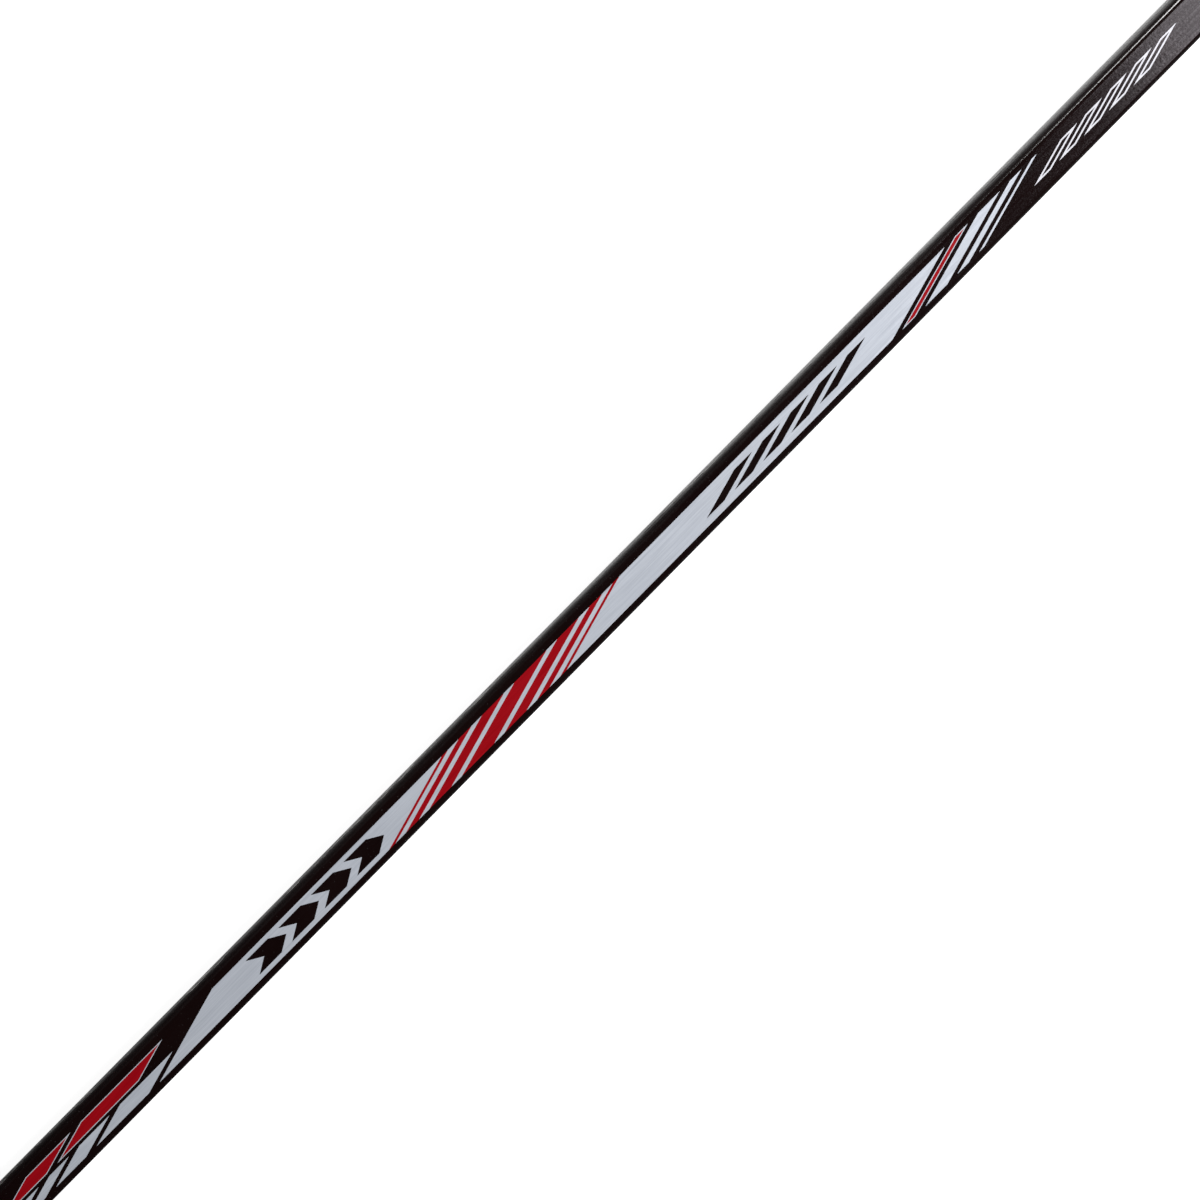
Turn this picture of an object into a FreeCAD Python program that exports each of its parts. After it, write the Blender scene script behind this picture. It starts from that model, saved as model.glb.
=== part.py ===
"""Youth ringette stick: a laminated wooden shaft with inlaid foil stripes, a grooved nylon tip boot
screwed over a tapered tenon, and a taped grip that ends in a rubber cap.

Frame, in millimetres: the stick lies on its back face. X runs along the shaft from the tip to the butt,
Y across the broad faces, Z up out of the front face. The origin is at the middle of the length and width,
on the surface that the tip's rim and the butt cap rest on.
"""
import FreeCAD, Part
import math
import os

from FreeCAD import Vector

# Driving dimensions of the whole stick
OVERALL_LENGTH = 1340.0
SHAFT_WIDTH = 26.0            # across the broad face
SHAFT_THICKNESS = 18.0        # from the front face to the back face
CORNER_RADIUS = 3.0           # of the shaft's four long corners
SIDE_RADIUS = 40.0            # of the slightly crowned narrow faces
STAND_OFF = 2.5               # how far the tip's rim and the butt cap stand proud of the shaft

# Lay-up of the shaft
GLASS_THICKNESS = 0.5         # fibreglass sheet on each broad face
BIRCH_THICKNESS = 1.5         # birch ply under each sheet
EDGE_STRIP_WIDTH = 3.0        # birch strip along each narrow face
CENTRE_STRIP_WIDTH = 6.8      # middle strip of the three in the aspen core

# Tip boot and the tenon inside it
BOOT_LENGTH = 95.0
NOSE_LENGTH = 9.0
NOSE_STEPS = 7
NOSE_TURN = 80.0              # degrees of the quarter circle that the nose follows
NOSE_DRAWN_IN = 0.62          # of the half thickness, how far a whole quarter circle would draw the nose in
NOSE_SHARPENING = 0.45        # loss of corner radius per millimetre drawn in
TENON_LENGTH = 50.0
TENON_END_HALF_WIDTH = 8.0
TENON_END_HALF_THICKNESS = 5.2
TENON_ROOT_RADIUS = 2.0
TENON_END_RADIUS = 1.5
BOOT_WALL_PROUD = 1.5         # how far the boot's mouth stands proud of the shaft
BOOT_NOSE_HALF_WIDTH = 9.0
BOOT_NOSE_HALF_THICKNESS = 6.5
BOOT_MOUTH_RADIUS = 4.4
BOOT_NOSE_RADIUS = 3.4
RIM_LENGTH = 8.0
RIM_PROFILE = ((0.0, 0.7), (0.5, 0.2), (1.2, 0.0), (6.2, 0.0), (7.1, 0.4))     # (from mouth, below crest)
GROOVE_COUNT = 12
GROOVE_PITCH = 4.7
GROOVE_DEPTH = 1.1
GROOVE_FLANK = 0.5            # length along X of each sloping side of a groove
GROOVE_FLOOR = 1.2

# The two countersunk wood screws that hold the boot
SCREW_LENGTH = 11.0
SCREW_HEAD_RADIUS = 3.1
SCREW_HEAD_HEIGHT = 1.8
SCREW_HEAD_EDGE = 0.25        # straight edge of the head above its cone
SCREW_NECK = 0.4              # plain shank between the head and the thread
SCREW_THREAD_RADIUS = 1.7
SCREW_ROOT_RADIUS = 1.2
SCREW_PITCH = 1.2
SCREW_POINT_LENGTH = 2.0
SCREW_SINK = 0.35             # head below the boot's sloping surface
SCREW_ACCESS = 2.0            # height of the way in above the head
RECESS_WIDTH = 0.9
RECESS_SPAN = 3.4
RECESS_DEPTH = 1.2
SCREW_FROM_MOUTH = 14.0       # front screw to the boot's mouth
SCREW_STAGGER = 8.0           # the back screw sits this much nearer the nose

# Butt cap and grip tape
CAP_END_WALL = 4.0
CAP_SKIRT_LENGTH = 30.0
CAP_SKIRT_WALL = 1.2
CAP_FLANGE_LENGTH = 12.0
SKIRT_TAPER = (1.5, 0.3)      # length of the thinned edge of the skirt, and how much it loses there
FLANGE_PROFILE = ((0.6, 0.3), (1.4, 0.0))                                      # (from flange, below crest)
END_PROFILE = ((4.0, 0.0), (2.0, 0.5), (0.7, 1.7), (0.0, 3.6))                 # (from end, below crest)
GRIP_LENGTH = 145.0
TAPE_PLY = 0.3                # thickness of one layer of cloth tape
TAPE_PITCH = 15.0             # advance of the winding per turn
TAPE_STEP = 0.4               # length of the step at the edge of each turn
TAPE_TO_FLANGE = 0.4

# Foil stripes, inlaid flush in the fibreglass of both broad faces. Rows of bars are given by the x of the
# first bar's lowest corner and the bars' lengths along X.
FOIL_DEPTH = 0.15
BAND_HALF = 8.0               # half the height of the striped band
SLANT = 56.0                  # how far a stripe's top edge leads its bottom edge, over the whole band
GAP = 8.0                     # along X between two bars of a row
HALF_LANE_GAP = 0.9           # half the black gap between the upper and the lower lane of the fade-in
KEYLINE = 0.45                # silver line around a red bar that lies on black
LOWER_SILVER_START = -460.0
LOWER_SILVER_BARS = (9.0, 15.0, 23.0, 40.0)
UPPER_RED_START = -452.0
UPPER_RED_BARS = (34.0, 62.0)
PANEL_START = -341.0
PANEL_LENGTH = 566.0
ARROW_START = -262.0
ARROW_BARS = (17.0,) * 4
ARROW_REACH = 9.0             # how far an arrow's point leads its edges
ARROW_HALF = 5.5
MIDDLE_RED_START = -165.0
MIDDLE_RED_BARS = (5.0, 10.0, 17.0, 25.0, 17.0, 10.0, 5.0)
DASH_START = 84.0
DASH_BARS = (14.0,) * 5
DASH_HALF = 4.2
END_RED_START = 233.0
END_RED_BARS = (10.0,)
END_SILVER_START = 251.0
END_SILVER_BARS = (17.0, 9.0, 4.0)
MARK_START = 340.0
MARK_BARS = (13.0,) * 5
MARK_GAP = 6.5
MARK_HALF = 4.0
MARK_LINE = 0.9               # thickness of a white mark's outline

# Derived places
HALF_LENGTH = OVERALL_LENGTH / 2
HALF_WIDTH = SHAFT_WIDTH / 2
HALF_THICKNESS = SHAFT_THICKNESS / 2
AXIS_HEIGHT = HALF_THICKNESS + STAND_OFF
CORE_HALF = HALF_THICKNESS - GLASS_THICKNESS - BIRCH_THICKNESS
MOUTH_X = -HALF_LENGTH + BOOT_LENGTH
NOSE_X = -HALF_LENGTH + NOSE_LENGTH
TENON_END_X = MOUTH_X - TENON_LENGTH
SHAFT_END_X = HALF_LENGTH - CAP_END_WALL
FLANGE_X = HALF_LENGTH - CAP_FLANGE_LENGTH
SKIRT_X = SHAFT_END_X - CAP_SKIRT_LENGTH
TAPE_END_X = FLANGE_X - TAPE_TO_FLANGE
TAPE_START_X = TAPE_END_X - GRIP_LENGTH


# Shape helpers

def section(x, half_width, half_thickness, radius, side_radius=None):
    """A rounded rectangle across the stick at x, as a wire. A side radius makes its narrow sides crowned."""
    y, z, r = half_width - radius, half_thickness - radius, radius
    out_y, out_z = 1.0, 0.0
    if side_radius:
        reach = side_radius - radius
        y = half_width - side_radius + math.sqrt(reach ** 2 - z ** 2)
        out_y, out_z = (y - half_width + side_radius) / reach, z / reach
    half_turn = (math.pi / 2 + math.atan2(out_z, out_y)) / 2
    middle_y, middle_z = y + r * math.cos(half_turn), z + r * math.sin(half_turn)

    corners = []
    for sy, sz in ((1, 1), (-1, 1), (-1, -1), (1, -1)):
        on_side = Vector(x, sy * (y + r * out_y), AXIS_HEIGHT + sz * (z + r * out_z))
        middle = Vector(x, sy * middle_y, AXIS_HEIGHT + sz * middle_z)
        on_face = Vector(x, sy * y, AXIS_HEIGHT + sz * half_thickness)
        corners.append((on_side, middle, on_face) if sy * sz > 0 else (on_face, middle, on_side))

    edges = []
    for number, (start, middle, end) in enumerate(corners):
        next_start = corners[(number + 1) % 4][0]
        edges.append(Part.Arc(start, middle, end).toShape())
        if side_radius and number % 2:
            side_middle = Vector(x, half_width if number == 3 else -half_width, AXIS_HEIGHT)
            edges.append(Part.Arc(end, side_middle, next_start).toShape())
        else:
            edges.append(Part.LineSegment(end, next_start).toShape())
    return Part.Wire(edges)


def body_through(stations):
    """A body through the sections listed as (x, half width, half thickness, radius, side radius)."""
    return Part.makeLoft([section(*station) for station in stations], True, True)


def block(x_start, x_end, y_start, y_end, z_start, z_end):
    """A box, with its heights counted from the shaft's axis."""
    corner = Vector(x_start, y_start, AXIS_HEIGHT + z_start)
    return Part.makeBox(x_end - x_start, y_end - y_start, z_end - z_start, corner)


def turned_over(shape):
    """The shape turned half a turn about the shaft's axis, from the front to the back."""
    turned = shape.copy()
    turned.rotate(Vector(0, 0, AXIS_HEIGHT), Vector(1, 0, 0), 180)
    return turned


# Shaft

def shaft_bar():
    face = Part.Face(section(MOUTH_X, HALF_WIDTH, HALF_THICKNESS, CORNER_RADIUS, SIDE_RADIUS))
    return face.extrude(Vector(SHAFT_END_X - MOUTH_X, 0, 0))


def tenon_bar():
    """The tapered tenon that the tip boot is glued and screwed on."""
    return body_through([
        (MOUTH_X, HALF_WIDTH - EDGE_STRIP_WIDTH, CORE_HALF, TENON_ROOT_RADIUS),
        (TENON_END_X, TENON_END_HALF_WIDTH, TENON_END_HALF_THICKNESS, TENON_END_RADIUS),
    ])


def core_strip(y_start, y_end):
    """An aspen strip of the core, with its share of the tenon."""
    slab = block(TENON_END_X, SHAFT_END_X, y_start, y_end, -CORE_HALF, CORE_HALF)
    return shaft_bar().fuse(tenon_bar()).common(slab).removeSplitter()


def edge_strip(y_start, y_end):
    """A birch strip along a narrow face, which stops at the tenon's shoulder."""
    return shaft_bar().common(block(MOUTH_X, SHAFT_END_X, y_start, y_end, -CORE_HALF, CORE_HALF))


def core_strips(screw_holes):
    """Three aspen strips side by side, between the two birch edge strips."""
    inner = CENTRE_STRIP_WIDTH / 2
    outer = HALF_WIDTH - EDGE_STRIP_WIDTH
    return {
        "core_strip_centre": core_strip(-inner, inner).cut(screw_holes),
        "core_strip_left": core_strip(inner, outer),
        "core_strip_right": core_strip(-outer, -inner),
        "edge_strip_left": edge_strip(outer, HALF_WIDTH),
        "edge_strip_right": edge_strip(-HALF_WIDTH, -outer),
    }


def face_plies():
    """A birch ply and a fibreglass sheet, before the foil is let in, on each broad face."""
    full = HALF_WIDTH
    birch_top = CORE_HALF + BIRCH_THICKNESS
    birch = shaft_bar().common(block(MOUTH_X, SHAFT_END_X, -full, full, CORE_HALF, birch_top))
    glass = shaft_bar().common(block(MOUTH_X, SHAFT_END_X, -full, full, birch_top, HALF_THICKNESS))
    return birch, glass


# Foil stripes. A stripe is drawn on the front face, with x along the shaft and y across the band.

def foil(points):
    """A foil patch with the outline given as (x, y) points."""
    height = AXIS_HEIGHT + HALF_THICKNESS - FOIL_DEPTH
    corners = [Vector(x, y, height) for x, y in points]
    return Part.Face(Part.makePolygon(corners + corners[:1])).extrude(Vector(0, 0, FOIL_DEPTH))


def slanted(x_start, length, low, high):
    """A slanted bar whose lowest corner starts at x_start."""
    lead = SLANT * (high - low) / (2 * BAND_HALF)
    return foil([(x_start, low), (x_start + length, low),
                 (x_start + length + lead, high), (x_start + lead, high)])


def arrow(x_start, length):
    """An arrow-shaped bar that points to the butt."""
    return foil([(x_start, -ARROW_HALF), (x_start + length, -ARROW_HALF),
                 (x_start + length + ARROW_REACH, 0), (x_start + length, ARROW_HALF),
                 (x_start, ARROW_HALF), (x_start + ARROW_REACH, 0)])


def places(start, lengths, gap=GAP):
    """The x and the length of each bar of a row."""
    run, x = [], start
    for length in lengths:
        run.append((x, length))
        x += length + gap
    return run


def bars(run, low, high):
    return [slanted(x, length, low, high) for x, length in run]


def bars_inside(run, low, high, margin):
    """The same bars, each drawn in by a margin on all four sides."""
    slope = SLANT / (2 * BAND_HALF)
    along = margin * math.hypot(1, slope)
    return [slanted(x + along + margin * slope, length - 2 * along, low + margin, high - margin)
            for x, length in run]


def stripes():
    """The foil solids of one broad face, by colour."""
    lower_lane = (-BAND_HALF, -HALF_LANE_GAP)
    upper_lane = (HALF_LANE_GAP, BAND_HALF)
    band = (-BAND_HALF, BAND_HALF)
    upper_red = places(UPPER_RED_START, UPPER_RED_BARS)
    end_red = places(END_RED_START, END_RED_BARS)
    marks = places(MARK_START, MARK_BARS, MARK_GAP)

    red = bars(places(MIDDLE_RED_START, MIDDLE_RED_BARS), *band)
    red += bars_inside(upper_red, *upper_lane, KEYLINE)
    red += bars_inside(end_red, *band, KEYLINE)

    silver = bars([(PANEL_START, PANEL_LENGTH)], *band)
    silver += bars(places(LOWER_SILVER_START, LOWER_SILVER_BARS), *lower_lane)
    silver += bars(upper_red, *upper_lane)
    silver += bars(end_red, *band)
    silver += bars(places(END_SILVER_START, END_SILVER_BARS), *band)
    black = [arrow(x, length) for x, length in places(ARROW_START, ARROW_BARS)]
    black += bars(places(DASH_START, DASH_BARS), -DASH_HALF, DASH_HALF)
    silver = Part.makeCompound(silver).cut(Part.makeCompound(red + black))

    white = Part.makeCompound(bars(marks, -MARK_HALF, MARK_HALF))
    white = white.cut(Part.makeCompound(bars_inside(marks, -MARK_HALF, MARK_HALF, MARK_LINE)))
    return {"silver": silver.Solids, "red": red, "white": white.Solids}


# Tip boot

def boot_half_sizes(x):
    """Half width, half thickness and corner radius of the boot's plain taper at x."""
    share = (MOUTH_X - x) / (MOUTH_X - NOSE_X)
    sizes = []
    for at_mouth, at_nose in ((HALF_WIDTH + BOOT_WALL_PROUD, BOOT_NOSE_HALF_WIDTH),
                              (HALF_THICKNESS + BOOT_WALL_PROUD, BOOT_NOSE_HALF_THICKNESS),
                              (BOOT_MOUTH_RADIUS, BOOT_NOSE_RADIUS)):
        sizes.append(at_mouth + share * (at_nose - at_mouth))
    return sizes


def boot_station(x, proud=0.0):
    half_width, half_thickness, radius = boot_half_sizes(x)
    return (x, half_width + proud, half_thickness + proud, radius + proud, SIDE_RADIUS + proud)


def rim_station(from_mouth, below_crest):
    """A station of the bead at the mouth, whose crest stands proud of the shaft by the stand-off."""
    proud = STAND_OFF - below_crest
    radius = BOOT_MOUTH_RADIUS + proud - BOOT_WALL_PROUD
    return (MOUTH_X - from_mouth, HALF_WIDTH + proud, HALF_THICKNESS + proud, radius, SIDE_RADIUS + proud)


def boot_stations():
    """Sections from the mouth to the point of the nose."""
    stations = [rim_station(*step) for step in RIM_PROFILE]
    stations.append(boot_station(MOUTH_X - RIM_LENGTH))
    first = NOSE_X + (GROOVE_COUNT - 0.5) * GROOVE_PITCH
    for number in range(GROOVE_COUNT):
        x = first - number * GROOVE_PITCH
        stations.append(boot_station(x))
        stations.append(boot_station(x - GROOVE_FLANK, -GROOVE_DEPTH))
        stations.append(boot_station(x - GROOVE_FLANK - GROOVE_FLOOR, -GROOVE_DEPTH))
        stations.append(boot_station(x - 2 * GROOVE_FLANK - GROOVE_FLOOR))
    stations.append(boot_station(NOSE_X))
    for step in range(1, NOSE_STEPS + 1):
        turn = math.radians(NOSE_TURN * step / NOSE_STEPS)
        x = NOSE_X - NOSE_LENGTH * math.sin(turn) / math.sin(math.radians(NOSE_TURN))
        drawn_in = BOOT_NOSE_HALF_THICKNESS * NOSE_DRAWN_IN * (1 - math.cos(turn))
        radius = BOOT_NOSE_RADIUS - NOSE_SHARPENING * drawn_in
        half_width, half_thickness = BOOT_NOSE_HALF_WIDTH - drawn_in, BOOT_NOSE_HALF_THICKNESS - drawn_in
        stations.append((x, half_width, half_thickness, radius, SIDE_RADIUS - drawn_in))
    return stations


def tip_boot(screw_holes):
    return body_through(boot_stations()).cut(tenon_bar()).cut(screw_holes)


def screw_blank():
    """A countersunk screw that points down, with its head's top at the origin."""
    head, root, crest = SCREW_HEAD_RADIUS, SCREW_ROOT_RADIUS, SCREW_THREAD_RADIUS
    outline = [(0, 0), (head, 0), (head, -SCREW_HEAD_EDGE), (root, -SCREW_HEAD_HEIGHT)]
    thread_start = SCREW_HEAD_HEIGHT + SCREW_NECK
    shank_end = SCREW_LENGTH - SCREW_POINT_LENGTH
    for turn in range(int((shank_end - thread_start) / SCREW_PITCH)):
        start, end = -thread_start - turn * SCREW_PITCH, -thread_start - (turn + 1) * SCREW_PITCH
        middle = (start + end) / 2
        outline += [(root, start), (crest, middle), (root, (middle + end) / 2)]
    outline += [(root, -shank_end), (0, -SCREW_LENGTH)]
    points = [Vector(r, 0, z) for r, z in outline]
    face = Part.Face(Part.makePolygon(points + points[:1]))
    return face.revolve(Vector(0, 0, 0), Vector(0, 0, 1), 360)


def screw_recess():
    """The cross-shaped driver recess."""
    half, span = RECESS_WIDTH / 2, RECESS_SPAN / 2
    one = Part.makeBox(2 * span, 2 * half, RECESS_DEPTH, Vector(-span, -half, -RECESS_DEPTH))
    other = Part.makeBox(2 * half, 2 * span, RECESS_DEPTH, Vector(-half, -span, -RECESS_DEPTH))
    return one.fuse(other)


def placed_screw(shape, from_mouth):
    """A screw's shape moved to the front face of the boot."""
    x = MOUTH_X - from_mouth
    placed = shape.copy()
    placed.translate(Vector(x, 0, AXIS_HEIGHT + boot_half_sizes(x)[1] - SCREW_SINK))
    return placed


def both_screws(shape):
    """The front screw and the back one, which is staggered so that their points pass each other."""
    front = placed_screw(shape, SCREW_FROM_MOUTH)
    back = turned_over(placed_screw(shape, SCREW_FROM_MOUTH + SCREW_STAGGER))
    return Part.makeCompound([front, back])


def tip_screws_and_holes():
    blank = screw_blank()
    access = Part.makeCylinder(SCREW_HEAD_RADIUS, SCREW_ACCESS)
    return both_screws(blank.cut(screw_recess())), both_screws(blank.fuse(access))


# Butt cap and grip tape

def station_over_shaft(x, proud):
    """A section that follows the shaft's own, a constant amount proud of it."""
    return (x, HALF_WIDTH + proud, HALF_THICKNESS + proud, CORNER_RADIUS + proud, SIDE_RADIUS + proud)


def cap_outside():
    """Outside of the rubber cap, from the thin skirt to the flanged end."""
    taper_length, taper_loss = SKIRT_TAPER
    profile = [(SKIRT_X, CAP_SKIRT_WALL - taper_loss), (SKIRT_X + taper_length, CAP_SKIRT_WALL),
               (FLANGE_X, CAP_SKIRT_WALL)]
    profile += [(FLANGE_X + along, STAND_OFF - below) for along, below in FLANGE_PROFILE]
    profile += [(HALF_LENGTH - along, STAND_OFF - below) for along, below in END_PROFILE]
    return body_through([station_over_shaft(*step) for step in profile])


def grip_tape():
    """The wound tape. Each turn laps the one before, so its outside is a row of low steps."""
    profile = []
    for turn in range(int(GRIP_LENGTH / TAPE_PITCH) + 1):
        x = TAPE_START_X + turn * TAPE_PITCH
        climbed = min(max((x - SKIRT_X) / TAPE_PITCH + 1, 0.0), 1.0) * CAP_SKIRT_WALL
        layers_before = min(turn, 1) + 1
        profile.append((x, climbed + layers_before * TAPE_PLY))
        profile.append((x + TAPE_STEP, climbed + (layers_before + 1) * TAPE_PLY))
    profile.append((TAPE_END_X, CAP_SKIRT_WALL + 2 * TAPE_PLY))
    outside = body_through([station_over_shaft(*step) for step in profile])
    return outside.cut(shaft_bar()).cut(cap_outside())


def main():
    screws, screw_holes = tip_screws_and_holes()
    foils = stripes()
    birch, glass = face_plies()
    glass = glass.cut(Part.makeCompound([patch for patches in foils.values() for patch in patches]))

    nodes = core_strips(screw_holes)
    nodes["front_birch_ply"] = birch
    nodes["back_birch_ply"] = turned_over(birch)
    nodes["front_glass_sheet"] = glass
    nodes["back_glass_sheet"] = turned_over(glass)
    for colour, patches in foils.items():
        nodes[f"front_{colour}_foil"] = Part.makeCompound(patches)
        nodes[f"back_{colour}_foil"] = turned_over(Part.makeCompound(patches))
    nodes["tip_boot"] = tip_boot(screw_holes)
    nodes["tip_screws"] = screws
    nodes["butt_cap"] = cap_outside().cut(shaft_bar())
    nodes["grip_tape"] = grip_tape()

    os.makedirs("parts", exist_ok=True)
    for name, shape in nodes.items():
        solids = shape.Solids
        if not solids or not shape.isValid():
            raise ValueError(f"{name} isn't a valid body")
        whole = solids[0] if len(solids) == 1 else Part.makeCompound(solids)
        whole.exportStep(f"parts/{name}.step")
        print(f"{name}: {len(solids)} solids, {whole.Volume / 1000:.2f} cm3")


main()
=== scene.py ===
"""Looks of the ringette stick: lacquer, foil, moulded tip boot, wound grip tape and rubber cap.

Metres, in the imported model's frame: X runs from the tip to the butt, Y across the broad faces, Z up.
"""
import math

import bmesh
import bpy
from mathutils import Matrix, Vector, noise


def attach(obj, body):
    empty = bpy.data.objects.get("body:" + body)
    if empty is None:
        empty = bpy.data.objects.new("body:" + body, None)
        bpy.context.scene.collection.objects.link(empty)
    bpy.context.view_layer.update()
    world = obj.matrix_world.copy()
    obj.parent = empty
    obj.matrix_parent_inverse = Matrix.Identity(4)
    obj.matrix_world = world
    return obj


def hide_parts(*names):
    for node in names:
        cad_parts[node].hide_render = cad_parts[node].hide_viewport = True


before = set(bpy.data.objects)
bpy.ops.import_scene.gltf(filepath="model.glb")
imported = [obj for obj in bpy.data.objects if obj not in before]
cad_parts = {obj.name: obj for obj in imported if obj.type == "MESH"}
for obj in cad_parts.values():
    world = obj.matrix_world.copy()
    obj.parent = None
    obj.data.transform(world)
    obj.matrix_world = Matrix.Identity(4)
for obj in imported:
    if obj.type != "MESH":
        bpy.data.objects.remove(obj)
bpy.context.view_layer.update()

# The shaft's section and places along the stick, as in the part's source
AXIS_HEIGHT = 0.0115
HALF_WIDTH = 0.013
HALF_THICKNESS = 0.009
CORNER_RADIUS = 0.003
SIDE_RADIUS = 0.040
STAND_OFF = 0.0025
HALF_LENGTH = 0.670
MOUTH_X = -0.575
NOSE_X = -0.661
SHAFT_END_X = 0.666
FLANGE_X = 0.658
SKIRT_X = 0.636
TAPE_START_X = 0.5126
TAPE_END_X = 0.6576
PLY_SEAMS = (0.0070, 0.0085)        # heights above the axis where the sheet, the ply and the strips meet

# Tip boot
WALL_PROUD = 0.0015
NOSE_HALF_WIDTH = 0.009
NOSE_HALF_THICKNESS = 0.0065
MOUTH_RADIUS = 0.0044
NOSE_RADIUS = 0.0034
NOSE_LENGTH = 0.009
RIM_PROFILE = ((0.0, 0.0007), (0.0005, 0.0002), (0.0012, 0.0), (0.0062, 0.0), (0.0071, 0.0004))
RIM_LENGTH = 0.008
GROOVES = 12
GROOVE_PITCH = 0.0047
GROOVE_DEPTH = 0.0011
GROOVE_FLANK = 0.0005
GROOVE_FLOOR = 0.0012
FIRST_GROOVE_X = NOSE_X + (GROOVES - 0.5) * GROOVE_PITCH
TENON_END_X = -0.625
SCREW_PLACES = ((-0.589, 1), (-0.597, -1))
SCREW_SINK = 0.00035
SCREW_HEAD_RADIUS = 0.0031
SCREW_CLEARANCE = 0.0001
SCREW_WAY_IN = 0.003                # height of the straight part of a screw's hole
SCREW_WAY_IN_LIFT = 0.00125         # from the top of the head to the middle of that part
SCREW_HOLE_STEPS = ((0.00155, 0.55), (0.005, 1.0))      # (further depth, change of width) of cone and shank
NOSE_STEPS = 14
NOSE_TURN = math.radians(80)        # of the quarter circle that the nose follows
NOSE_DRAWN_IN = 0.62                # of the half thickness, over a whole quarter circle
NOSE_SHARPENING = 0.45              # loss of corner radius, of what is drawn in
BOOT_SOFTENING = 0.00022            # width of the rounding on the boot's edges
POCKET_STATIONS = ((MOUTH_X + 0.002, 0.0101, 0.0071, 0.002, 1.0), (MOUTH_X, 0.0100, 0.0070, 0.002, 1.0),
                   (TENON_END_X, 0.0080, 0.0052, 0.0015, 1.0))

# Butt cap
SKIRT_WALL = 0.0012
SKIRT_EDGE = (0.0015, 0.0003)       # length of the skirt's thinned edge, and what it loses there
FLANGE_CREST = 0.0014               # from the flange's start to its crest
FLANGE_ROUNDING = (0.0010, 0.0008)  # along X, and off the crest
FLANGE_STEPS = 6
END_ROUNDING = (0.0036, 0.0030)     # along X, and off the crest
END_STEPS = 8
END_RIM = 0.0016                    # of the end face, round the part that is stepped in
END_SLOPE = 0.0003
END_SINK = 0.0006
END_EDGE = 0.0002

# Grip tape
TAPE_PLY = 0.0003
TAPE_PITCH = 0.015
TAPE_WAVE = 0.00006                 # height of the cloth's slight unevenness
THREAD_PITCH = 0.00045
TAPE_WAVES = (260, 170)             # per metre, along the stick and round it
SPARE_TURNS = 2                     # wound on past each end, and then cut off
TAPE_EDGE = ((0.0, 0.0), (0.004, 0.55), (0.012, 0.9), (0.03, 1.0), (0.10, 0.97), (0.3, 0.80), (0.5, 0.58),
             (0.7, 0.36), (0.85, 0.17), (1.0, 0.0))     # (share of the turn, share of a layer)
MERGE_DISTANCE = 0.000002
CUT_TOLERANCE = 0.000001
CUTTER_OVERRUN = 0.01               # of a cutter, past the end that it opens

# Photograph's camera
CAMERA_TILT = math.radians(16.0)        # round the stick, towards its left side
CAMERA_LEAN = math.radians(2.657)       # towards the tip
CAMERA_ROLL = math.radians(45.361)      # of the stick across the frame
CAMERA_ANGLE = math.radians(15.512)
CAMERA_TARGET = Vector((0.012, 0.003782, AXIS_HEIGHT))
CAMERA_DISTANCE = 2.4

# Studio
FLOOR_GLOW = 0.25
FLOOR_GLOW_SEEN = 0.60              # more of it, for the camera alone
ROOM_LIGHT = 0.22

# What the lacquer mirrors across the stick: (direction from straight down, 0, to straight up, 1; level)
SURROUNDINGS = ((0.012, 0.97), (0.019, 0.87), (0.027, 0.62), (0.034, 0.39), (0.043, 0.22), (0.052, 0.13),
                (0.065, 0.08), (0.085, 0.06), (0.5, 0.25), (0.62, 0.16), (0.75, 0.04))
MIRROR_LIMITS = (-0.15, 0.25)       # of the direction's X, within which the next three hold
MIRROR_RISE = 0.08                  # of the levels, towards the butt
MIRROR_GAIN = 1.7                   # in brightness, towards the butt
MIRROR_BRIGHTNESS = 0.36            # straight across the stick


# Modelling helpers

def only(piece):
    """Leaves nothing but this piece selected and active."""
    bpy.ops.object.select_all(action="DESELECT")
    piece.select_set(True)
    bpy.context.view_layer.objects.active = piece


def section_points(x, half_width, half_thickness, radius, side_radius, arc_steps=9, side_steps=6):
    """Points round the stick's section at x: four corner arcs, and narrow sides that are slightly crowned."""
    reach = side_radius - radius
    z = half_thickness - radius
    centre = half_width - side_radius
    y = centre + math.sqrt(reach ** 2 - z ** 2)
    lean = math.atan2(z, y - centre)
    quarter = []
    for step in range(side_steps // 2 + 1):
        angle = lean * step / (side_steps // 2)
        quarter.append((centre + side_radius * math.cos(angle), side_radius * math.sin(angle)))
    for step in range(1, arc_steps + 1):
        angle = lean + (math.pi / 2 - lean) * step / arc_steps
        quarter.append((y + radius * math.cos(angle), z + radius * math.sin(angle)))
    half = quarter + [(-across, up) for across, up in reversed(quarter)]
    ring = half + [(across, -up) for across, up in reversed(half[1:-1])]
    return [Vector((x, across, AXIS_HEIGHT + up)) for across, up in ring]


def round_the_axis(point):
    return math.atan2(point.z - AXIS_HEIGHT, point.y)


def place_ring(mesh, points):
    """Moves the selected ring of vertices onto the points, in their order round the axis."""
    ring = [vertex for vertex in mesh.verts if vertex.select]
    ring.sort(key=lambda vertex: round_the_axis(vertex.co))
    for vertex, point in zip(ring, sorted(points, key=round_the_axis), strict=True):
        vertex.co = point


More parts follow.
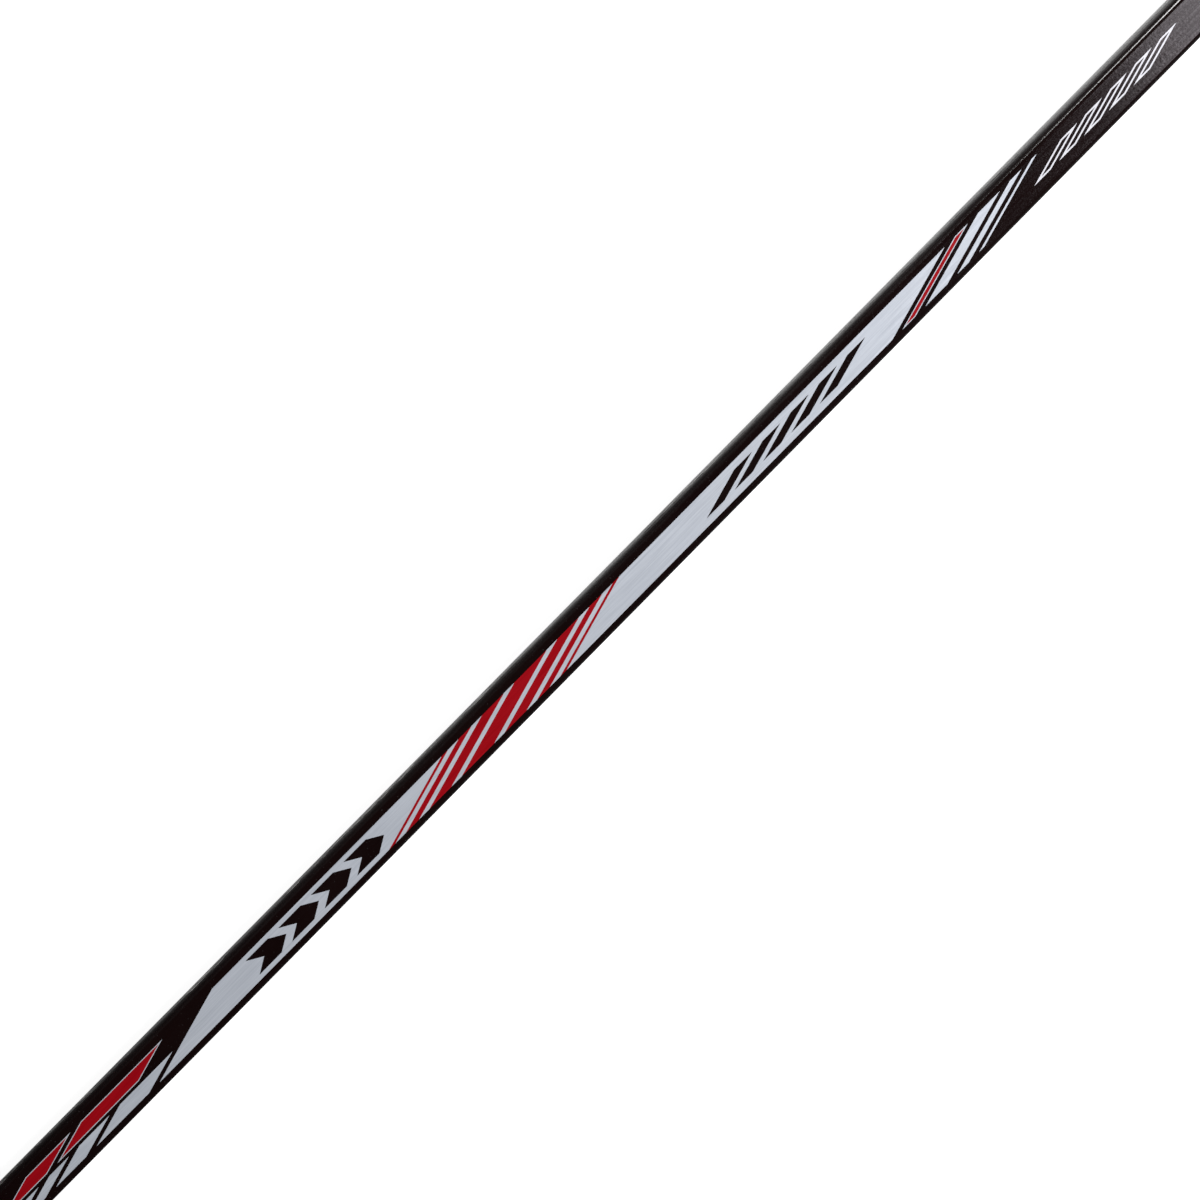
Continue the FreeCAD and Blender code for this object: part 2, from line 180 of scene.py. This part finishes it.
def drawn_out(name, stations, **steps):
    """A bar drawn out through stations of (x, half width, half thickness, radius, side radius)."""
    rings = [section_points(*station, **steps) for station in stations]
    bpy.ops.object.select_all(action="DESELECT")
    bpy.ops.mesh.primitive_circle_add(
        vertices=len(rings[0]), radius=HALF_THICKNESS, fill_type="NGON",
        location=(stations[0][0], 0, AXIS_HEIGHT), rotation=(0, math.pi / 2, 0))
    bar = bpy.context.object
    bar.name = bar.data.name = name
    bpy.ops.object.transform_apply()
    bpy.ops.object.mode_set(mode="EDIT")
    bpy.ops.mesh.select_all(action="SELECT")
    place_ring(bmesh.from_edit_mesh(bar.data), rings[0])
    for before, ring in zip(rings, rings[1:]):
        along = ring[0].x - before[0].x
        bpy.ops.mesh.extrude_region_move(TRANSFORM_OT_translate={"value": (along, 0, 0)})
        place_ring(bmesh.from_edit_mesh(bar.data), ring)
    bpy.ops.mesh.select_all(action="SELECT")
    bpy.ops.mesh.normals_make_consistent(inside=False)
    bpy.ops.object.mode_set(mode="OBJECT")
    return bar


def select_faces(piece, wanted):
    """Selects, in edit mode, only the faces that pass the test."""
    bpy.ops.mesh.select_all(action="DESELECT")
    bpy.ops.mesh.select_mode(type="FACE")
    mesh = bmesh.from_edit_mesh(piece.data)
    for face in mesh.faces:
        if wanted(face):
            face.select_set(True)
    bmesh.update_edit_mesh(piece.data)


def apply_modifier(piece, kind, **settings):
    only(piece)
    modifier = piece.modifiers.new(kind.lower(), kind)
    for name, value in settings.items():
        setattr(modifier, name, value)
    bpy.ops.object.modifier_apply(modifier=modifier.name)


def cut_away(piece, *cutters):
    """Takes the cutters' shapes out of the piece, and then deletes them."""
    for cutter in cutters:
        apply_modifier(piece, "BOOLEAN", operation="DIFFERENCE", object=cutter, solver="EXACT")
        bpy.data.objects.remove(cutter)


def soften_edges(piece, width, angle, segments):
    apply_modifier(piece, "BEVEL", width=width, segments=segments, limit_method="ANGLE",
                   angle_limit=math.radians(angle), miter_outer="MITER_ARC")


def shade(piece, angle):
    """Smooth shading with sharp edges kept, in which the large flat faces stay flat."""
    only(piece)
    bpy.ops.object.shade_smooth_by_angle(angle=math.radians(angle))
    apply_modifier(piece, "WEIGHTED_NORMAL", mode="FACE_AREA", weight=60, keep_sharp=True)


def finish_piece(piece, finish, slot, *nodes):
    """Gives the piece its finish, and hands it to the frame in place of its nodes."""
    piece.data.materials.clear()
    piece.data.materials.append(finish)
    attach(piece, "root")
    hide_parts(*nodes)


def shaft_section(proud=0.0):
    return (HALF_WIDTH + proud, HALF_THICKNESS + proud, CORNER_RADIUS + proud, SIDE_RADIUS + proud)


def shaft_bar(name, start, end):
    return drawn_out(name, [(start, *shaft_section()), (end, *shaft_section())])


# Pieces

def boot_section(x, proud=0.0):
    share = (MOUTH_X - x) / (MOUTH_X - NOSE_X)
    half_width = HALF_WIDTH + WALL_PROUD + share * (NOSE_HALF_WIDTH - HALF_WIDTH - WALL_PROUD)
    half_thickness = HALF_THICKNESS + WALL_PROUD + share * (NOSE_HALF_THICKNESS - HALF_THICKNESS - WALL_PROUD)
    radius = MOUTH_RADIUS + share * (NOSE_RADIUS - MOUTH_RADIUS)
    return (x, half_width + proud, half_thickness + proud, radius + proud, SIDE_RADIUS + proud)


def screw_cutter(x, side):
    """A countersunk hole with its way in, for the screw at x on the front (side 1) or the back (side -1)."""
    top = side * (boot_section(x)[2] - SCREW_SINK)
    bpy.ops.object.select_all(action="DESELECT")
    bpy.ops.mesh.primitive_cylinder_add(
        vertices=48, radius=SCREW_HEAD_RADIUS + SCREW_CLEARANCE, depth=SCREW_WAY_IN,
        location=(x, 0, AXIS_HEIGHT + top + side * SCREW_WAY_IN_LIFT))
    hole = bpy.context.object
    bpy.ops.object.transform_apply()
    bpy.ops.object.mode_set(mode="EDIT")
    select_faces(hole, lambda face: face.normal.z * side < -0.9)
    for drop, shrink in SCREW_HOLE_STEPS:
        bpy.ops.mesh.extrude_region_move(TRANSFORM_OT_translate={"value": (0, 0, -side * drop)})
        bpy.ops.transform.resize(value=(shrink, shrink, 1))
    bpy.ops.mesh.select_all(action="SELECT")
    bpy.ops.mesh.normals_make_consistent(inside=False)
    bpy.ops.object.mode_set(mode="OBJECT")
    return hole


def tip_boot(finish):
    """The moulded boot: a bead at the mouth, twelve grooves round the taper and a rounded nose."""
    stations = []
    for from_mouth, below_crest in RIM_PROFILE:
        proud = STAND_OFF - below_crest
        stations.append((MOUTH_X - from_mouth, HALF_WIDTH + proud, HALF_THICKNESS + proud,
                         MOUTH_RADIUS + proud - WALL_PROUD, SIDE_RADIUS + proud))
    stations.append(boot_section(MOUTH_X - RIM_LENGTH))
    for number in range(GROOVES):
        x = FIRST_GROOVE_X - number * GROOVE_PITCH
        stations.append(boot_section(x))
        stations.append(boot_section(x - GROOVE_FLANK, -GROOVE_DEPTH))
        stations.append(boot_section(x - GROOVE_FLANK - GROOVE_FLOOR, -GROOVE_DEPTH))
        stations.append(boot_section(x - 2 * GROOVE_FLANK - GROOVE_FLOOR))
    stations.append(boot_section(NOSE_X))
    for step in range(1, NOSE_STEPS + 1):
        turn = NOSE_TURN * step / NOSE_STEPS
        drawn_in = NOSE_HALF_THICKNESS * NOSE_DRAWN_IN * (1 - math.cos(turn))
        stations.append((NOSE_X - NOSE_LENGTH * math.sin(turn) / math.sin(NOSE_TURN),
                         NOSE_HALF_WIDTH - drawn_in, NOSE_HALF_THICKNESS - drawn_in,
                         NOSE_RADIUS - NOSE_SHARPENING * drawn_in, SIDE_RADIUS - drawn_in))
    boot = drawn_out("tip_boot_moulding", stations, arc_steps=12)
    soften_edges(boot, BOOT_SOFTENING, 20, 3)
    pocket = drawn_out("pocket", POCKET_STATIONS)
    cut_away(boot, pocket, *[screw_cutter(x, side) for x, side in SCREW_PLACES])
    shade(boot, 35)
    finish_piece(boot, finish, "nylon", "tip_boot")


def butt_cap(finish):
    """The rubber cap: a thin skirt under the tape, and a flanged end with a stepped-in face."""
    taper, thinned = SKIRT_EDGE
    stations = [(SKIRT_X, *shaft_section(SKIRT_WALL - thinned)),
                (SKIRT_X + taper, *shaft_section(SKIRT_WALL)),
                (FLANGE_X, *shaft_section(SKIRT_WALL))]
    for step in range(FLANGE_STEPS + 1):
        turn = math.pi / 2 * step / FLANGE_STEPS
        stations.append((FLANGE_X + FLANGE_CREST - FLANGE_ROUNDING[0] * math.cos(turn),
                         *shaft_section(STAND_OFF - FLANGE_ROUNDING[1] * (1 - math.sin(turn)))))
    for step in range(END_STEPS + 1):
        turn = math.pi / 2 * step / END_STEPS
        stations.append((HALF_LENGTH - END_ROUNDING[0] * (1 - math.sin(turn)),
                         *shaft_section(STAND_OFF - END_ROUNDING[1] * (1 - math.cos(turn)))))
    cap = drawn_out("butt_cap_moulding", stations, arc_steps=12)
    bpy.ops.object.mode_set(mode="EDIT")
    select_faces(cap, lambda face: (face.normal.x > 0.999
                                    and face.calc_center_median().x > HALF_LENGTH - 0.0001))
    bpy.ops.mesh.inset(thickness=END_RIM)
    bpy.ops.mesh.inset(thickness=END_SLOPE)
    bpy.ops.transform.translate(value=(-END_SINK, 0, 0))
    bpy.ops.mesh.inset(thickness=END_EDGE)
    bpy.ops.object.mode_set(mode="OBJECT")
    cut_away(cap, shaft_bar("shaft_pocket", SKIRT_X - CUTTER_OVERRUN, SHAFT_END_X))
    shade(cap, 32)
    finish_piece(cap, finish, "rubber", "butt_cap")


def tape_height(x):
    """How far the tape's first layer lies off the shaft at x, where it climbs over the cap's skirt."""
    return min(max((x - SKIRT_X) / TAPE_PITCH + 1, 0.0), 1.0) * SKIRT_WALL


def grip_tape(finish):
    """Cloth tape wound on in a helix. Each turn laps the one before and shows its edge as a low step."""
    steps = {"arc_steps": 8, "side_steps": 6}
    ring = section_points(0.0, *shaft_section(), **steps)
    run = [0.0]
    for before, after in zip(ring, ring[1:] + ring[:1]):
        run.append(run[-1] + (after - before).length)
    around, girth = len(ring), run[-1]
    turns = int((TAPE_END_X - TAPE_START_X) / TAPE_PITCH) + 2 * SPARE_TURNS
    bpy.ops.object.select_all(action="DESELECT")
    bpy.ops.mesh.primitive_grid_add(x_subdivisions=turns * around, y_subdivisions=len(TAPE_EDGE) - 1, size=1)
    tape = bpy.context.object
    tape.name = tape.data.name = "grip_tape_winding"
    places = []
    for vertex in tape.data.vertices:
        along = round((vertex.co.x + 0.5) * turns * around)
        share, layer = TAPE_EDGE[round((vertex.co.y + 0.5) * (len(TAPE_EDGE) - 1))]
        turn, place = divmod(along, around)
        lap = turn - SPARE_TURNS + run[place] / girth + share
        x = TAPE_START_X + TAPE_PITCH * lap
        layers = layer + min(max(lap, 1.0), 2.0)
        wave = noise.noise(Vector((x * TAPE_WAVES[0], run[place] * TAPE_WAVES[1], 0.3)))
        proud = tape_height(x) + layers * TAPE_PLY + wave * TAPE_WAVE
        vertex.co = section_points(x, *shaft_section(proud), **steps)[place]
        places.append((turn * girth + run[place], share * TAPE_PITCH))
    cloth = tape.data.uv_layers.active.data
    for loop in tape.data.loops:
        cloth[loop.index].uv = places[loop.vertex_index]
    only(tape)
    bpy.ops.object.mode_set(mode="EDIT")
    bpy.ops.mesh.select_all(action="SELECT")
    bpy.ops.mesh.remove_doubles(threshold=MERGE_DISTANCE)
    bpy.ops.mesh.normals_make_consistent(inside=False)
    for x, low in ((TAPE_START_X, True), (TAPE_END_X, False)):
        bpy.ops.mesh.select_all(action="SELECT")
        bpy.ops.mesh.bisect(plane_co=(x, 0, 0), plane_no=(1, 0, 0), use_fill=True,
                            clear_inner=low, clear_outer=not low, threshold=CUT_TOLERANCE)
    bpy.ops.object.mode_set(mode="OBJECT")
    cut_away(tape, shaft_bar("shaft_under_tape", TAPE_START_X - CUTTER_OVERRUN, SHAFT_END_X))
    only(tape)
    bpy.ops.object.shade_smooth_by_angle(angle=math.radians(40))
    finish_piece(tape, finish, "cloth_tape", "grip_tape")


# Finishes. Patterns read the object's own coordinates, in metres.

class Finish:
    """A material with one shader, and short names for the nodes that shape its look."""

    def __init__(self, name, colour, roughness):
        self.material = bpy.data.materials.new(name)
        self.material.use_nodes = True
        self.tree = self.material.node_tree
        self.shader = self.tree.nodes["Principled BSDF"]
        self.shader.inputs["Base Color"].default_value = (*colour, 1)
        self.shader.inputs["Roughness"].default_value = roughness
        self.place = self.node("ShaderNodeTexCoord").outputs["Object"]

    def node(self, kind, settings=None, **inputs):
        made = self.tree.nodes.new(kind)
        for name, value in (settings or {}).items():
            setattr(made, name, value)
        for name, value in inputs.items():
            self.join(made.inputs[name.replace("_", " ")], value)
        return made

    def join(self, socket, value):
        if isinstance(value, bpy.types.NodeSocket):
            self.tree.links.new(value, socket)
        else:
            socket.default_value = value

    def patches(self, size, stretch=(1, 1, 1), detail=2.0, rough=0.5):
        """Cloudy patches of about this size, from 0 to 1. A stretch makes them that many times longer."""
        scale = tuple(1 / (size * times) for times in stretch)
        scaled = self.node("ShaderNodeMapping", Scale=scale, Vector=self.place)
        cloud = self.node("ShaderNodeTexNoise", Vector=scaled.outputs[0], Scale=1.0, Detail=detail,
                          Roughness=rough)
        return cloud.outputs["Fac"]

    def levels(self, value, low, high, to_low=0.0, to_high=1.0):
        made = self.node("ShaderNodeMapRange", Value=value)
        for name, number in (("From Min", low), ("From Max", high), ("To Min", to_low), ("To Max", to_high)):
            made.inputs[name].default_value = number
        return made.outputs[0]

    def sum(self, first, second, operation="ADD"):
        made = self.node("ShaderNodeMath", {"operation": operation})
        self.join(made.inputs[0], first)
        self.join(made.inputs[1], second)
        return made.outputs[0]

    def times(self, first, second):
        return self.sum(first, second, "MULTIPLY")

    def mixed(self, share, first, second):
        made = self.node("ShaderNodeMix", {"data_type": "RGBA"})
        self.join(made.inputs[0], share)
        self.join(made.inputs[6], first if isinstance(first, bpy.types.NodeSocket) else (*first, 1))
        self.join(made.inputs[7], second if isinstance(second, bpy.types.NodeSocket) else (*second, 1))
        return made.outputs[2]

    def axes(self):
        return self.node("ShaderNodeSeparateXYZ", Vector=self.place).outputs

    def colour(self, value):
        self.join(self.shader.inputs["Base Color"], value)

    def roughness(self, value):
        self.join(self.shader.inputs["Roughness"], value)

    def relief(self, height, depth, under=None):
        made = self.node("ShaderNodeBump", Height=height, Distance=depth)
        if under is not None:
            self.join(made.inputs["Normal"], under)
        self.join(self.shader.inputs["Normal"], made.outputs[0])
        return made.outputs[0]

    def set(self, **values):
        for name, value in values.items():
            self.shader.inputs[name.replace("_", " ")].default_value = value


def lacquer_relief(finish, peel=0.000010, streak=0.000005):
    """The uneven skin of sprayed lacquer: orange peel, and long streaks where the grain shows through."""
    under = finish.relief(finish.patches(0.0016, detail=3.0), peel)
    return finish.relief(finish.patches(0.0009, (45, 1, 1), detail=2.0), streak, under)


def black_lacquer():
    """Glossy black with faint specks. The back half of each narrow side has grey scuffs and dents."""
    finish = Finish("black_lacquer", (0.0055, 0.0021, 0.0020), 0.14)
    base = finish.mixed(finish.patches(0.012, (3, 1, 1)), (0.0040, 0.0012, 0.0011), (0.0075, 0.0030, 0.0030))
    nibs = finish.levels(finish.patches(0.0009, detail=1.0), 0.73, 0.77, 0.0, 0.6)
    base = finish.mixed(nibs, base, (0.05, 0.045, 0.045))
    axes = finish.axes()
    across = finish.sum(axes["Y"], 0.0, "ABSOLUTE")
    over_axis = finish.sum(axes["Z"], AXIS_HEIGHT, "SUBTRACT")
    up = finish.sum(over_axis, 0.0, "ABSOLUTE")
    far_edge = finish.times(finish.levels(across, 0.0105, 0.0115), finish.levels(over_axis, 0.0014, 0.0000))
    far_edge = finish.times(far_edge, finish.levels(over_axis, -0.0056, -0.0044))
    in_runs = finish.levels(finish.patches(0.060, detail=1.0), 0.44, 0.58, -0.06, 0.12)
    dents = finish.sum(finish.patches(0.0016, (7, 1, 1.6)), in_runs)
    scuffs = finish.sum(finish.patches(0.0011, (9, 1, 1.1), detail=3.0), in_runs)
    worn = finish.times(finish.levels(scuffs, 0.655, 0.695), far_edge)
    finish.colour(finish.mixed(worn, base, (0.34, 0.33, 0.32)))
    streaks = finish.times(finish.patches(0.0011, (40, 1, 1), detail=3.0), 0.5)
    speckle = finish.times(finish.patches(0.0012, detail=3.0), 0.5)
    uneven = finish.sum(streaks, speckle)
    finish.roughness(finish.sum(finish.levels(uneven, 0.38, 0.62, 0.10, 0.18), finish.times(worn, 0.4)))
    finish.join(finish.shader.inputs["Coat Weight"], finish.levels(uneven, 0.42, 0.60, 0.05, 1.0))
    finish.set(Coat_Roughness=0.08, IOR=1.5)
    under = lacquer_relief(finish, 0.000020, 0.000012)
    for seam in PLY_SEAMS:
        off = finish.sum(finish.sum(up, seam, "SUBTRACT"), 0.0, "ABSOLUTE")
        under = finish.relief(finish.levels(off, 0.0, 0.00016), 0.00002, under)
    under = finish.relief(finish.times(finish.levels(dents, 0.52, 0.68), far_edge), 0.00010, under)
    finish.join(finish.shader.inputs["Coat Normal"], under)
    return finish.material


def silver_film():
    finish = Finish("silver_film", (0.45, 0.48, 0.54), 0.38)
    brushed = finish.patches(0.00035, (70, 1, 1), detail=3.0)
    cloudy = finish.patches(0.010, (4, 1, 1))
    base = finish.mixed(finish.levels(brushed, 0.3, 0.7), (0.49, 0.525, 0.59), (0.61, 0.645, 0.71))
    finish.colour(finish.mixed(finish.levels(cloudy, 0.3, 0.8, 0.0, 0.35), base, (0.47, 0.505, 0.57)))
    finish.roughness(finish.levels(brushed, 0.3, 0.7, 0.32, 0.46))
    finish.set(Metallic=0.25, Coat_Weight=0.5, Coat_Roughness=0.12)
    lacquer_relief(finish)
    return finish.material


def red_film():
    finish = Finish("red_film", (0.285, 0.0, 0.004), 0.35)
    brushed = finish.patches(0.0004, (60, 1, 1), detail=3.0)
    finish.colour(finish.mixed(finish.levels(brushed, 0.3, 0.7), (0.245, 0.0, 0.0030), (0.325, 0.0, 0.0050)))
    finish.roughness(finish.levels(brushed, 0.3, 0.7, 0.30, 0.42))
    finish.set(Specular_IOR_Level=0.15, Coat_Weight=0.2, Coat_Roughness=0.12)
    lacquer_relief(finish)
    return finish.material


def white_film():
    finish = Finish("white_film", (0.64, 0.64, 0.69), 0.35)
    finish.colour(finish.mixed(finish.patches(0.0012, detail=3.0), (0.56, 0.56, 0.61), (0.71, 0.71, 0.76)))
    finish.roughness(finish.levels(finish.patches(0.002), 0.3, 0.7, 0.3, 0.42))
    finish.set(Coat_Weight=0.5, Coat_Roughness=0.12)
    lacquer_relief(finish)
    return finish.material


def aspen_wood():
    finish = Finish("aspen_wood", (0.72, 0.60, 0.42), 0.6)
    rings = finish.patches(0.0011, (90, 1, 1), detail=4.0)
    fleck = finish.patches(0.0004, (12, 1, 1))
    base = finish.mixed(finish.levels(rings, 0.3, 0.7), (0.62, 0.49, 0.32), (0.78, 0.67, 0.49))
    finish.colour(finish.mixed(finish.levels(fleck, 0.62, 0.75), base, (0.50, 0.37, 0.22)))
    finish.roughness(finish.levels(rings, 0.3, 0.7, 0.5, 0.7))
    finish.relief(rings, 0.00004)
    return finish.material


def nylon():
    finish = Finish("satin_nylon", (0.66, 0.64, 0.58), 0.42)
    base = finish.mixed(finish.patches(0.018, detail=3.0), (0.60, 0.58, 0.51), (0.68, 0.66, 0.60))
    axes = finish.axes()
    from_first = finish.sum(FIRST_GROOVE_X, axes["X"], "SUBTRACT")
    turns = finish.sum(from_first, GROOVE_PITCH, "DIVIDE")
    within = finish.sum(turns, 0.0, "FRACT")
    groove_end = (2 * GROOVE_FLANK + GROOVE_FLOOR) / GROOVE_PITCH
    past_start = finish.levels(within, 0.02, 0.10)
    in_groove = finish.times(past_start, finish.levels(within, groove_end, groove_end - 0.08))
    in_groove = finish.times(in_groove, finish.levels(turns, -0.05, 0.05))
    # Darker in the grooves, more in some patches than in others.
    darkening_patches = finish.levels(finish.patches(0.004, detail=4.0), 0.35, 0.75, 0.10, 0.65)
    base = finish.mixed(finish.times(in_groove, darkening_patches), base, (0.30, 0.27, 0.22))
    worn = finish.levels(axes["X"], -0.640, -0.668, 0.0, 0.75)
    scuffs = finish.levels(finish.patches(0.0012, (1, 5, 2), detail=5.0, rough=0.7), 0.50, 0.68)
    base = finish.mixed(finish.times(scuffs, worn), base, (0.13, 0.12, 0.11))
    finish.colour(base)
    finish.roughness(finish.levels(finish.patches(0.003, detail=4.0), 0.3, 0.7, 0.36, 0.52))
    grain = finish.relief(finish.patches(0.0005, detail=3.0), 0.000012)
    parting = finish.sum(finish.sum(axes["Z"], AXIS_HEIGHT, "SUBTRACT"), 0.0, "ABSOLUTE")
    finish.relief(finish.levels(parting, 0.00018, 0.00006), 0.00006, grain)
    return finish.material


def zinc():
    finish = Finish("zinc_plate", (0.55, 0.55, 0.56), 0.32)
    worn = finish.patches(0.0006, detail=4.0)
    finish.colour(finish.mixed(worn, (0.50, 0.50, 0.50), (0.68, 0.68, 0.70)))
    finish.roughness(finish.levels(worn, 0.3, 0.7, 0.25, 0.42))
    finish.set(Metallic=1.0)
    finish.relief(worn, 0.000008)
    return finish.material


def rubber():
    finish = Finish("moulded_rubber", (0.02, 0.02, 0.02), 0.62)
    cloudy = finish.patches(0.006, detail=4.0)
    finish.colour(finish.mixed(cloudy, (0.014, 0.014, 0.014), (0.034, 0.033, 0.032)))
    finish.roughness(finish.levels(cloudy, 0.3, 0.7, 0.55, 0.75))
    finish.relief(finish.patches(0.0006, detail=3.0), 0.00002)
    return finish.material


def cotton_tape():
    finish = Finish("cotton_tape", (0.60, 0.585, 0.55), 0.85)
    cloth = finish.node("ShaderNodeUVMap").outputs[0]
    threads = finish.node("ShaderNodeSeparateXYZ", Vector=cloth).outputs
    warp = finish.sum(finish.times(threads["X"], 2 * math.pi / THREAD_PITCH), 0.0, "SINE")
    weft = finish.sum(finish.times(threads["Y"], 2 * math.pi / THREAD_PITCH), 0.0, "SINE")
    weave = finish.levels(finish.times(warp, weft), -1.0, 1.0)
    soiled = finish.levels(finish.patches(0.030, (1.6, 1, 1), detail=5.0), 0.42, 0.72, 0.0, 0.55)
    base = finish.mixed(finish.patches(0.008, detail=4.0), (0.56, 0.545, 0.505), (0.64, 0.625, 0.59))
    base = finish.mixed(soiled, base, (0.40, 0.375, 0.33))
    # Darker along the edge of each turn, where it laps the turn before, in patches.
    at_edge = finish.levels(threads["Y"], 0.0011, 0.0, 0.0, 0.45)
    darker_edge = finish.times(at_edge, finish.levels(finish.patches(0.004), 0.3, 0.7))
    base = finish.mixed(darker_edge, base, (0.27, 0.25, 0.22))
    # Painted shade: the cloth is darker where the weave is low, in the hollows between the threads.
    finish.colour(finish.mixed(finish.levels(weave, 0.0, 0.5, 0.22, 0.0), base, (0.30, 0.28, 0.25)))
    finish.roughness(finish.levels(weave, 0.0, 1.0, 0.95, 0.82))
    under = finish.relief(weave, 0.00006)
    finish.relief(finish.patches(0.0022, detail=3.0), 0.00010, under)
    return finish.material


LACQUER = black_lacquer()
NODE_FINISHES = {
    "core_strip": aspen_wood(),
    "edge_strip": LACQUER,
    "birch_ply": LACQUER,
    "glass_sheet": LACQUER,
    "silver_foil": silver_film(),
    "red_foil": red_film(),
    "white_foil": white_film(),
    "tip_screws": zinc(),
}
for name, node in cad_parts.items():
    for word, finish in NODE_FINISHES.items():
        if word in name:
            node.data.materials.clear()
            node.data.materials.append(finish)

tip_boot(nylon())
butt_cap(rubber())
grip_tape(cotton_tape())


# Studio

def studio_floor():
    """A floor that takes the stick's shadow, looks nearly white to the camera and is in no reflection."""
    bpy.ops.object.select_all(action="DESELECT")
    bpy.ops.mesh.primitive_plane_add(size=12, location=(0, 0, 0))
    floor = bpy.context.object
    floor.name = "studio_floor"
    material = bpy.data.materials.new("white_floor")
    material.use_nodes = True
    nodes, links = material.node_tree.nodes, material.node_tree.links
    shader = nodes["Principled BSDF"]
    shader.inputs["Base Color"].default_value = (0.4, 0.4, 0.4, 1)
    shader.inputs["Roughness"].default_value = 0.9
    shader.inputs["Specular IOR Level"].default_value = 0.0
    shader.inputs["Emission Color"].default_value = (1, 1, 1, 1)
    path = nodes.new("ShaderNodeLightPath")
    strength = nodes.new("ShaderNodeMath")
    strength.operation = "MULTIPLY_ADD"
    strength.inputs[1].default_value = FLOOR_GLOW_SEEN
    strength.inputs[2].default_value = FLOOR_GLOW
    links.new(path.outputs["Is Camera Ray"], strength.inputs[0])
    links.new(strength.outputs[0], shader.inputs["Emission Strength"])
    floor.data.materials.append(material)
    floor.visible_glossy = False


def lamp(name, place, aim, size, power, colour=(1, 1, 1)):
    """A rectangular lamp at its place, turned towards its aim."""
    light = bpy.data.lights.new(name, "AREA")
    light.shape = "RECTANGLE"
    light.size, light.size_y = size
    light.energy = power
    light.color = colour
    holder = bpy.data.objects.new(name, light)
    bpy.context.scene.collection.objects.link(holder)
    holder.location = place
    holder.rotation_euler = (Vector(aim) - Vector(place)).to_track_quat("-Z", "Y").to_euler()


def studio_world():
    """White for the camera, a soft light for the rest, and graded surroundings for the lacquer to mirror."""
    world = bpy.data.worlds.new("studio")
    bpy.context.scene.world = world
    world.use_nodes = True
    nodes, links = world.node_tree.nodes, world.node_tree.links
    background = nodes["Background"]

    def worked_out(operation, *values):
        made = nodes.new("ShaderNodeMath")
        made.operation = operation
        for socket, value in zip(made.inputs, values):
            if isinstance(value, bpy.types.NodeSocket):
                links.new(value, socket)
            else:
                socket.default_value = value
        return made.outputs[0]

    def mixed(share, first, second):
        made = nodes.new("ShaderNodeMix")
        made.data_type = "RGBA"
        links.new(share, made.inputs[0])
        for socket, value in ((made.inputs[6], first), (made.inputs[7], second)):
            if isinstance(value, bpy.types.NodeSocket):
                links.new(value, socket)
            else:
                socket.default_value = (value, value, value, 1)
        return made.outputs[2]

    direction = nodes.new("ShaderNodeTexCoord")
    parts = nodes.new("ShaderNodeSeparateXYZ")
    links.new(direction.outputs["Generated"], parts.inputs[0])
    along = parts.outputs["X"]
    steep = worked_out("SQRT", worked_out("SUBTRACT", 1.0001, worked_out("MULTIPLY", along, along)))
    height = worked_out("MULTIPLY_ADD", worked_out("DIVIDE", parts.outputs["Z"], steep), 0.5, 0.5)
    towards_butt = worked_out("MINIMUM", worked_out("MAXIMUM", along, MIRROR_LIMITS[0]), MIRROR_LIMITS[1])
    ramp = nodes.new("ShaderNodeValToRGB")
    links.new(worked_out("MULTIPLY_ADD", towards_butt, -MIRROR_RISE, height), ramp.inputs[0])
    stops = ramp.color_ramp.elements
    stops[0].position, stops[0].color = 0.0, (1, 1, 1, 1)
    stops[1].position, stops[1].color = 1.0, (0.03, 0.03, 0.03, 1)
    for position, level in SURROUNDINGS:
        stops.new(position).color = (level, level, level, 1)
    brightness = worked_out("MULTIPLY_ADD", towards_butt, MIRROR_GAIN, MIRROR_BRIGHTNESS)
    path = nodes.new("ShaderNodeLightPath").outputs
    mirrored = mixed(brightness, 0.0, ramp.outputs[0])
    lighting = mixed(path["Is Glossy Ray"], ROOM_LIGHT, mirrored)
    links.new(mixed(path["Is Camera Ray"], lighting, 1.0), background.inputs["Color"])


def photo_camera():
    """The camera over the stick, turned so that the stick runs from corner to corner of the frame."""
    tilt, lean, roll = CAMERA_TILT, CAMERA_LEAN, CAMERA_ROLL
    out = Vector((-math.sin(lean), math.sin(tilt) * math.cos(lean), math.cos(tilt) * math.cos(lean)))
    along = (Vector((1, 0, 0)) - out.x * out).normalized()
    over = out.cross(along)
    right = math.cos(roll) * along - math.sin(roll) * over
    up = math.sin(roll) * along + math.cos(roll) * over
    lens = bpy.data.cameras.new("photo_camera")
    lens.angle = CAMERA_ANGLE
    camera = bpy.data.objects.new("photo_camera", lens)
    bpy.context.scene.collection.objects.link(camera)
    turned = Matrix((right, up, out.normalized())).transposed().to_4x4()
    camera.matrix_world = Matrix.Translation(CAMERA_TARGET + CAMERA_DISTANCE * out) @ turned
    bpy.context.scene.camera = camera


studio_floor()
studio_world()
lamp("key_panel", (2.2, -0.7, 2.0), (0.2, 0, 0), (0.8, 1.2), 94)
lamp("side_panel", (1.15, 1.7, 1.0), (0.45, 0, 0), (0.6, 0.8), 26)
lamp("ceiling_panel", (1.28, -0.544, 1.9), (1.28, -0.544, 0), (0.8, 0.6), 4.6, (1.0, 0.94, 1.0))
photo_camera()
bpy.context.scene.view_settings.view_transform = "Standard"
